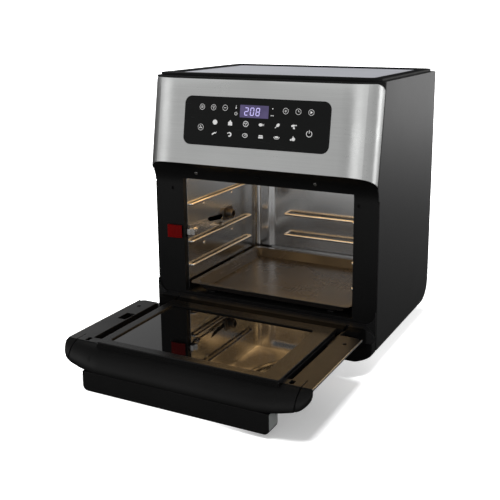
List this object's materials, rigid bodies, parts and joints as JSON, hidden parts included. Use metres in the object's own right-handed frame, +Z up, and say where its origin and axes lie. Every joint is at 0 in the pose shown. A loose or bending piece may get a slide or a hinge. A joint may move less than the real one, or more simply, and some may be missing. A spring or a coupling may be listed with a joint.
{
  "type": "air fryer oven",
  "caption": "Countertop air fryer oven with a drop-down glazed door, steel fascia with touch panel, lit cavity with rack rails, drip tray, rotisserie lever and fan.",
  "frame": {"origin": "on the floor, under the centre of the box around the oven with its door open", "axes": "+X to the right seen from the front, +Y to the back, +Z up; the door opens towards -Y"},
  "size_m": [0.33, 0.465, 0.3665],
  "materials": {
    "body_paint": "satin",
    "base_steel": "matt",
    "black_plastic": "fine matt",
    "handle_plastic": "satin",
    "brushed_steel": "horizontal brushed",
    "top_paint": "satin",
    "black_glass": "gloss",
    "door_glass": "gloss",
    "liner_steel": "galvanised sheet",
    "bright_wire": "polished",
    "black_enamel": "enamel",
    "heater_steel": "dull",
    "red_plastic": "satin",
    "tray_coating": "non-stick",
    "rubber": "matt",
    "fan_alloy": "sheet",
    "motor_iron": "laminated",
    "board": "circuit board",
    "part_plastic": "moulded",
    "lamp_glass": "frosted",
    "lamp_ceramic": "ceramic"
  },
  "bodies": {
    "cabinet": {"back_cover": "body_paint", "base_pan": "base_steel", "chin": "black_plastic", "control_glass": "black_glass", "cord_gland": "black_plastic", "cover_screws": "bright_wire", "display_module": "part_plastic", "door_catch": "black_plastic", "door_switch": "black_plastic", "fan_guard": "bright_wire", "fan_motor": "motor_iron", "fascia": "brushed_steel", "fascia_carrier": "black_plastic", "feet": "rubber", "front_frame": "black_plastic", "front_screws": "bright_wire", "heater_pan": "liner_steel", "heating_element": "heater_steel", "hinge_pins": "bright_wire", "lamp_lens": "lamp_glass", "lamp_socket": "lamp_ceramic", "lever_pin": "bright_wire", "liner_back": "liner_steel", "liner_floor": "black_enamel", "liner_left": "liner_steel", "liner_right": "liner_steel", "liner_top": "liner_steel", "motor_bracket": "liner_steel", "power_board": "board", "rack_rails_back": "bright_wire", "rack_rails_left": "bright_wire", "rack_rails_right": "bright_wire", "rotisserie_motor": "motor_iron", "side_panel_left": "body_paint", "side_panel_right": "body_paint", "spit_bearing": "bright_wire", "temperature_sensor": "bright_wire", "thermal_cutout": "part_plastic", "top_frame": "black_plastic", "top_panel": "top_paint", "touch_board": "board", "wall_rivets": "bright_wire"},
    "door": {"door_inner_panel": "black_plastic", "door_frame": "black_plastic", "door_glass_inner": "door_glass", "door_skin": "brushed_steel", "door_glass_outer": "black_glass", "door_lip": "black_plastic", "door_handle": "handle_plastic", "hinge_arm_left": "black_enamel", "hinge_arm_right": "black_enamel"},
    "drip_tray": {"drip_tray": "tray_coating"},
    "fan_rotor": {"fan_shaft": "bright_wire", "hot_air_fan": "fan_alloy", "cooling_fan": "fan_alloy"},
    "spit_drive": {"drive_peg": "bright_wire"},
    "release_lever": {"release_lever": "bright_wire", "release_tip": "red_plastic"}
  },
  "joints": [
    {"name": "door_hinge", "type": "hinge", "parent": "cabinet", "child": "door", "pos_m": [0, -0.027, 0.042], "axis": [1, 0, 0], "range_deg": [-90, 0]},
    {"name": "drip_tray_slide", "type": "slide", "parent": "cabinet", "child": "drip_tray", "axis": [0, -1, 0], "range_m": [0, 0.185]},
    {"name": "hot_air_fan_spin", "type": "hinge", "parent": "cabinet", "child": "fan_rotor", "pos_m": [0.006, 0.1065, 0.258], "axis": [0, 0, 1], "continuous": true},
    {"name": "spit_drive_spin", "type": "hinge", "parent": "cabinet", "child": "spit_drive", "pos_m": [0.125, 0.1135, 0.147], "axis": [1, 0, 0], "continuous": true},
    {"name": "release_lever_press", "type": "hinge", "parent": "cabinet", "child": "release_lever", "pos_m": [-0.119, 0.0195, 0.142], "axis": [1, 0, 0], "range_deg": [0, 7], "stiffness_Nm_per_rad": 0.4, "springref_deg": -5.73}
  ]
}
